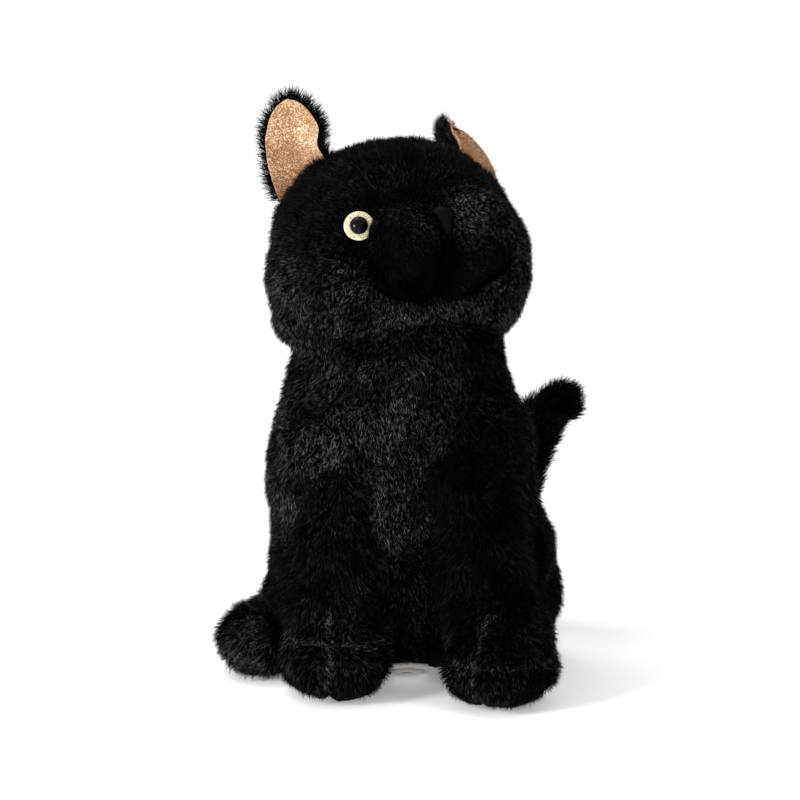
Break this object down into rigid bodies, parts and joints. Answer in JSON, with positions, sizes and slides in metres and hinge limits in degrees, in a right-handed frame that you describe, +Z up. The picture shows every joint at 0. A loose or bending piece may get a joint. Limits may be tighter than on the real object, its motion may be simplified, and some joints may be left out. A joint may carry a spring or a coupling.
{
  "type": "plush cat",
  "caption": "Sitting plush cat in long faux fur with a turned-up face, short-pile muzzle, glitter-lined ears, stuffed legs and a bent tail.",
  "frame": {"origin": "on the ground, on the flat seat under the body, where the seat meets the belly", "axes": "-Y towards the cat's front, +X to the cat's left, +Z up"},
  "size_m": [0.1642, 0.1798, 0.2683],
  "materials": {
    "faux_fur": "long combed pile",
    "velboa": "short dense pile",
    "nose_satin": "smooth satin",
    "glitter_fabric": "fine glitter",
    "eye_plastic": "polished",
    "glitter_plastic": "gold glitter",
    "washer_plastic": "moulded",
    "filling": "loose polyester fibre",
    "pellet_cloth": "plain weave",
    "label_satin": "woven satin"
  },
  "bodies": {
    "torso": {"chest_right": "faux_fur", "chest_left": "faux_fur", "belly_panel": "faux_fur", "back_right": "faux_fur", "back_left": "faux_fur", "base_panel": "faux_fur", "body_stuffing": "filling", "pellet_bag": "pellet_cloth", "care_label": "label_satin", "care_label_inner": "label_satin"},
    "neck": {"neck_plug": "filling"},
    "head": {"head_crown": "faux_fur", "head_cheek_right": "faux_fur", "head_cheek_left": "faux_fur", "head_chin_right": "faux_fur", "head_chin_left": "faux_fur", "head_stuffing": "filling", "muzzle_lobe_right": "velboa", "muzzle_lobe_left": "velboa", "muzzle_stuffing": "filling", "nose": "nose_satin", "eye_right": "eye_plastic", "eye_left": "eye_plastic", "glitter_disc_right": "glitter_plastic", "glitter_disc_left": "glitter_plastic", "eye_washer_right": "washer_plastic", "eye_washer_left": "washer_plastic"},
    "tail": {"tail_cover": "faux_fur", "tail_stuffing": "filling"},
    "ear_right": {"ear_back_right": "faux_fur", "ear_lining_right": "glitter_fabric"},
    "front_leg_right": {"leg_sleeve_right": "faux_fur", "paw_cover_right": "faux_fur", "paw_sole_right": "faux_fur", "leg_stuffing_right": "filling"},
    "hind_foot_right": {"foot_cover_right": "faux_fur", "foot_sole_right": "faux_fur", "foot_stuffing_right": "filling"},
    "ear_left": {"ear_back_left": "faux_fur", "ear_lining_left": "glitter_fabric"},
    "front_leg_left": {"leg_sleeve_left": "faux_fur", "paw_cover_left": "faux_fur", "paw_sole_left": "faux_fur", "leg_stuffing_left": "filling"},
    "hind_foot_left": {"foot_cover_left": "faux_fur", "foot_sole_left": "faux_fur", "foot_stuffing_left": "filling"}
  },
  "joints": [
    {"name": "neck_turn", "type": "hinge", "parent": "torso", "child": "neck", "pos_m": [-0.001, -0.005, 0.15], "axis": [0, 0, 1], "range_deg": [-18, 18], "stiffness_Nm_per_rad": 0.5},
    {"name": "head_nod", "type": "hinge", "parent": "neck", "child": "head", "pos_m": [-0.001, -0.005, 0.198], "axis": [0.9397, 0.342, 0], "range_deg": [-8, 16], "stiffness_Nm_per_rad": 1},
    {"name": "ear_fold_right", "type": "hinge", "parent": "head", "child": "ear_right", "pos_m": [-0.04379, -0.00147, 0.22978], "axis": [0.9601, -0.0947, 0.2631], "range_deg": [-15, 25], "stiffness_Nm_per_rad": 0.02},
    {"name": "ear_fold_left", "type": "hinge", "parent": "head", "child": "ear_left", "pos_m": [0.02951, 0.02521, 0.22978], "axis": [0.6176, 0.4232, -0.6629], "range_deg": [-8, 30], "stiffness_Nm_per_rad": 0.02},
    {"name": "leg_swing_right", "type": "hinge", "parent": "torso", "child": "front_leg_right", "pos_m": [-0.026, -0.034, 0.098], "axis": [1, 0, 0], "range_deg": [-22, 0], "stiffness_Nm_per_rad": 0.4},
    {"name": "leg_swing_left", "type": "hinge", "parent": "torso", "child": "front_leg_left", "pos_m": [0.032, -0.04, 0.098], "axis": [1, 0, 0], "range_deg": [-22, 0], "stiffness_Nm_per_rad": 0.4},
    {"name": "foot_splay_right", "type": "hinge", "parent": "torso", "child": "hind_foot_right", "pos_m": [-0.0588, 0.0116, 0.0165], "axis": [0, 0, 1], "range_deg": [-18, 0], "stiffness_Nm_per_rad": 0.1},
    {"name": "foot_splay_left", "type": "hinge", "parent": "torso", "child": "hind_foot_left", "pos_m": [0.0475, 0.0177, 0.0165], "axis": [0, 0, 1], "range_deg": [0, 18], "stiffness_Nm_per_rad": 0.1},
    {"name": "tail_sway", "type": "hinge", "parent": "torso", "child": "tail", "pos_m": [0.006, 0.061, 0.026], "axis": [0, 0, 1], "range_deg": [-15, 15], "stiffness_Nm_per_rad": 0.06}
  ]
}
